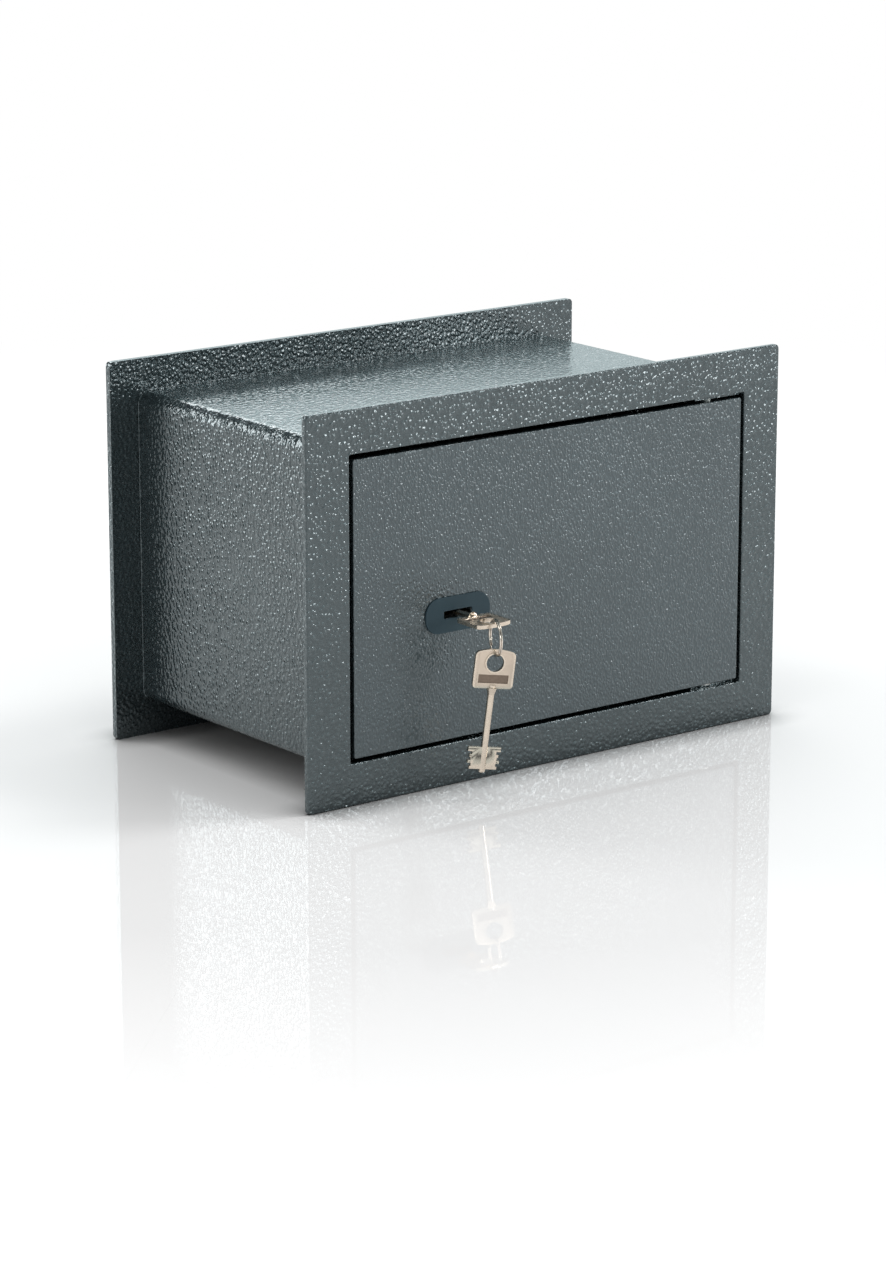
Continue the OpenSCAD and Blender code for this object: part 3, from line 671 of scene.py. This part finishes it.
# sideAt are heights and topAt places across, for the tacks at one flange
weldSet = {"radius": 1.7, "ripples": 12, "ripple": 1.1, "swell": 1.16, "start": 0.45, "lift": 1.7,
           "sideAt": (-70, -35, 0, 35, 70), "topAt": (-120, -60, 0, 60, 120), "midHeight": 0.5,
           "seam": 0.9, "seamLap": 0.5, "seamEdge": 0.35, "shortest": 0.92, "spread": 0.16}


def makeBead(w):
    # a short fillet bead along Z, with the ripples that the puddle leaves across it
    bpy.ops.object.select_all(action="DESELECT")
    length = w["ripples"] * w["ripple"] * mm
    bpy.ops.mesh.primitive_circle_add(vertices=12, radius=w["radius"] * mm * w["start"],
                                      location=(0, 0, -length / 2))
    bead = bpy.context.object
    placeInMesh(bead)
    bpy.ops.object.mode_set(mode="EDIT")
    bpy.ops.mesh.select_all(action="SELECT")
    z = -length / 2

    def nextRing(advance, factor):
        bpy.ops.mesh.extrude_region_move(TRANSFORM_OT_translate={"value": (0, 0, advance)})
        bpy.ops.transform.resize(value=(factor, factor, 1), center_override=(0, 0, z + advance))
        return z + advance
    z = nextRing(0.3 * w["ripple"] * mm, w["lift"])
    for _ in range(w["ripples"] - 1):
        z = nextRing(0.65 * w["ripple"] * mm, w["swell"])
        z = nextRing(0.35 * w["ripple"] * mm, 1 / w["swell"])
    z = nextRing(0.3 * w["ripple"] * mm, 1 / w["lift"])
    closeEnds()
    return bead


def seamLine(y, side):
    # thin ridge of paint that fills the joint between the folded body and a flange
    ridge, inner = weldSet["seam"], weldSet["seamLap"]
    left, bottom, right, top = bodySet["shell"]
    near, far = sorted((y * mm, (y - side * ridge) * mm))
    seam = roundedBox("seam", ((left - ridge) * mm, near, (bottom - ridge) * mm),
                      ((right + ridge) * mm, far, (top + ridge) * mm), 1, (bodySet["bend"] + ridge) * mm, 10)
    inside = roundedBox("inside", ((left + inner) * mm, near - past, (bottom + inner) * mm),
                        ((right - inner) * mm, far + past, (top - inner) * mm), 1, bodySet["bend"] * mm, 10)
    cutAway(seam, inside)
    applyModifier(seam, "BEVEL", width=weldSet["seamEdge"] * mm, segments=2, limit_method="ANGLE",
                  angle_limit=math.radians(40))
    return seam


def weldRow(name, y, node):
    left, bottom, right, top = bodySet["shell"]
    bead = makeBead(weldSet)
    upright = (0, 0, 0)
    places = [((x, y, z + weldSet["midHeight"]), upright) for x in (left, right) for z in weldSet["sideAt"]]
    places += [((x, y, z), alongX) for z in (bottom, top) for x in weldSet["topAt"]]
    copies = []
    for i, (at, turn) in enumerate(places):
        copy = looseCopy(bead)
        copy.location = Vector(at) * mm
        copy.rotation_euler = turn
        share = i * 7 % 5 / 4                      # laid by hand, so their lengths differ
        copy.scale = (1, 1, weldSet["shortest"] + weldSet["spread"] * share)
        placeInMesh(copy)
        copies.append(copy)
    bpy.data.objects.remove(bead)
    copies.append(seamLine(y, 1 if y > -bodySet["depth"] / 2 else -1))
    row = joinInto(name, copies)
    smoothShading(row, math.radians(60))
    dressWith(row, bodyPaint)
    standsFor(row, "safe_body", "hammertone_paint", node)


weldRow("rearWelds", -bodySet["plate"], "rear_welds")
weldRow("frontWelds", bodySet["plate"] - bodySet["depth"], "front_welds")
print("welds made")


# metres: where the reflection fades, where the white paper begins, and how far the contact shadow reaches;
# toMiddle moves the safe's middle to the place that these are measured from
floorSet = {"white": "#f1f1f1", "shine": 0.25, "fadeFrom": 0.42, "fadeTo": 0.86, "contact": 0.026,
            "darker": 1.6, "paperFrom": 0.55, "paperTo": 1.3, "toMiddle": (0, 0.1, 0), "across": 60}


def floorMaterial(f):
    # white lacquered board: a matt white with a clear reflection near the safe that fades with the distance
    material, tree = newMaterial("studio floor")
    place = addNode(tree, "ShaderNodeTexCoord").outputs["Object"]
    flat = addNode(tree, "ShaderNodeVectorMath", {"operation": "MULTIPLY"}, _0=place, _1=(1, 1, 0))
    centred = addNode(tree, "ShaderNodeVectorMath", {"operation": "ADD"}, _0=flat.outputs[0],
                      _1=f["toMiddle"])
    away = addNode(tree, "ShaderNodeVectorMath", {"operation": "LENGTH"}, _0=centred.outputs[0])
    shine = addNode(tree, "ShaderNodeMapRange", _0=away.outputs["Value"], _1=f["fadeFrom"], _2=f["fadeTo"],
                    _3=f["shine"], _4=0.0)
    # painted contact shadow: the floor's colour goes towards black where ambient occlusion finds the safe
    # close by
    closedIn = addNode(tree, "ShaderNodeAmbientOcclusion", {"samples": 6}, Distance=f["contact"])
    contact = addNode(tree, "ShaderNodeMath", {"operation": "POWER"}, _0=closedIn.outputs["AO"],
                      _1=f["darker"])
    shaded = addNode(tree, "ShaderNodeMixRGB", Fac=contact.outputs[0],
                     Color1=(0, 0, 0, 1), Color2=linearColour(f["white"]))
    matt = addNode(tree, "ShaderNodeBsdfDiffuse", Color=shaded.outputs[0])
    mirror = addNode(tree, "ShaderNodeBsdfGlossy", Color=(1, 1, 1, 1), Roughness=0.0)
    lightPath = addNode(tree, "ShaderNodeLightPath")
    polish = addNode(tree, "ShaderNodeMath", {"operation": "MULTIPLY"}, _0=shine.outputs[0],
                     _1=lightPath.outputs["Is Camera Ray"])
    mixed = addNode(tree, "ShaderNodeMixShader", _0=polish.outputs[0], _1=matt.outputs[0],
                    _2=mirror.outputs[0])
    # away from the safe the floor runs out into plain white, also in what the metal and paint reflect
    seen = lightPath.outputs["Is Camera Ray"]
    for ray in ("Is Glossy Ray", "Is Transmission Ray"):
        seen = addNode(tree, "ShaderNodeMath", {"operation": "MAXIMUM"}, _0=seen,
                       _1=lightPath.outputs[ray]).outputs[0]
    far = addNode(tree, "ShaderNodeMapRange", {"interpolation_type": "SMOOTHSTEP"}, _0=away.outputs["Value"],
                  _1=f["paperFrom"], _2=f["paperTo"], _3=0.0, _4=1.0)
    farSeen = addNode(tree, "ShaderNodeMath", {"operation": "MULTIPLY"}, _0=far.outputs[0], _1=seen)
    paper = addNode(tree, "ShaderNodeEmission", Strength=1.0)
    total = addNode(tree, "ShaderNodeMixShader", _0=farSeen.outputs[0], _1=mixed.outputs[0],
                    _2=paper.outputs[0])
    addNode(tree, "ShaderNodeOutputMaterial", Surface=total.outputs[0])
    return material


bpy.ops.object.select_all(action="DESELECT")
bpy.ops.mesh.primitive_plane_add(size=floorSet["across"], location=(0, 0, floorLevel))
studioFloor = bpy.context.object
studioFloor.name = "studioFloor"
placeInMesh(studioFloor)
dressWith(studioFloor, floorMaterial(floorSet))

# the room by its height: white walls, then a darker band, then a white ceiling
roomTones = [(0.0, "#dbe6e8"), (0.33, "#dbe6e8"), (0.44, "#505458"), (0.62, "#505458"), (0.74, "#ecf7f9")]


def makeRoom(tones):
    # only gloss sees the room's tones; all other rays see plain white
    world = bpy.data.worlds.new("studio")
    bpy.context.scene.world = world
    world.use_nodes = True
    tree = world.node_tree
    tree.nodes.clear()
    direction = addNode(tree, "ShaderNodeTexCoord").outputs["Generated"]
    upward = addNode(tree, "ShaderNodeSeparateXYZ", Vector=direction).outputs["Z"]
    room = addNode(tree, "ShaderNodeValToRGB", Fac=upward)
    setRamp(room, tones)
    lightPath = addNode(tree, "ShaderNodeLightPath")
    plain = addNode(tree, "ShaderNodeMixRGB", Fac=lightPath.outputs["Is Glossy Ray"],
                    Color1=(1, 1, 1, 1), Color2=room.outputs[0])
    background = addNode(tree, "ShaderNodeBackground", Color=plain.outputs[0], Strength=1.0)
    addNode(tree, "ShaderNodeOutputWorld", Surface=background.outputs[0])


makeRoom(roomTones)


def softbox(name, at, towards, size, watts):
    # a diffused studio lamp, its places and size in metres
    data = bpy.data.lights.new(name, "AREA")
    data.shape = "RECTANGLE"
    data.size, data.size_y = size
    data.energy = watts
    lamp = bpy.data.objects.new(name, data)
    bpy.context.scene.collection.objects.link(lamp)
    lamp.location = at
    lamp.rotation_euler = (Vector(towards) - Vector(at)).to_track_quat("-Z", "Y").to_euler()


# place, aim, size and watts; they give the plain light, the front's glints, the bend's bright line, a little
# light on the left side and the sheen on the top
lampSet = {"keyLight": ((2.78, -1.35, 3.99), (0, -0.15, 0), (1.3, 1.3), 66),
           "frontLight": ((0.93, -1.46, 0.27), (0, -0.15, 0.02), (0.38, 0.26), 4.15),
           "rimLight": ((-1.9, 3.1, 1.02), (-0.1, -0.1, 0.05), (1.3, 1.96), 44),
           "fillLight": ((-4.6, -1.2, 1.9), (-0.1, -0.1, 0), (1.0, 1.0), 5),
           "backLight": ((1.5, 2.3, 1.5), (-0.05, -0.1, 0.1), (1.6, 0.6), 10)}
for lamp, settings in lampSet.items():
    softbox(lamp, *settings)
print("stage made")
